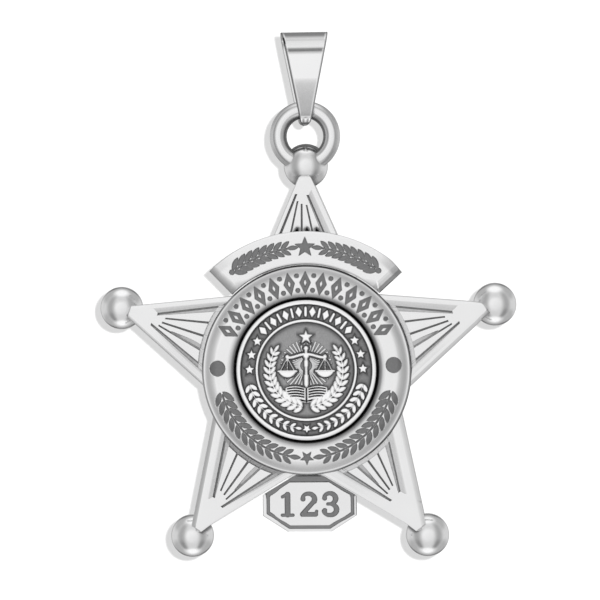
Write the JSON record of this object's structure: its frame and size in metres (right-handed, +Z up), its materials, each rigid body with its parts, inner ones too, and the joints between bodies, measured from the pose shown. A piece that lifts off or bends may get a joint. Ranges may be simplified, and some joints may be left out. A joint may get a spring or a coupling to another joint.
{
  "type": "sheriff badge pendant",
  "caption": "Star badge with ball tips worn as a pendant: cast star with hanging ring, curved banner, round panel, seal, number plate and folded bail.",
  "frame": {"origin": "middle of the chain passage inside the bail's top roll, where the pendant hangs on a chain", "axes": "+X to the right of someone who faces the badge, along the chain passage; +Y from the face to the back; +Z up"},
  "size_m": [0.032, 0.004, 0.0403],
  "materials": {
    "star_silver": "polished silver, darkened in the grooves",
    "banner_silver": "polished silver with dark engraving",
    "panel_silver": "polished silver with dark engraving",
    "seal_silver": "raised polished silver on an oxidised ground",
    "plate_silver": "satin silver with dark engraving",
    "bail_silver": "polished silver sheet"
  },
  "bodies": {
    "bail": {"bail": "bail_silver"},
    "badge": {"star": "star_silver", "banner": "banner_silver", "round_panel": "panel_silver", "seal": "seal_silver", "number_plate": "plate_silver"}
  },
  "joints": [
    {"name": "swing", "type": "hinge", "parent": "bail", "child": "badge", "pos_m": [0, 0, -0.00458], "axis": [1, 0, 0], "range_deg": [-120, 120]}
  ]
}
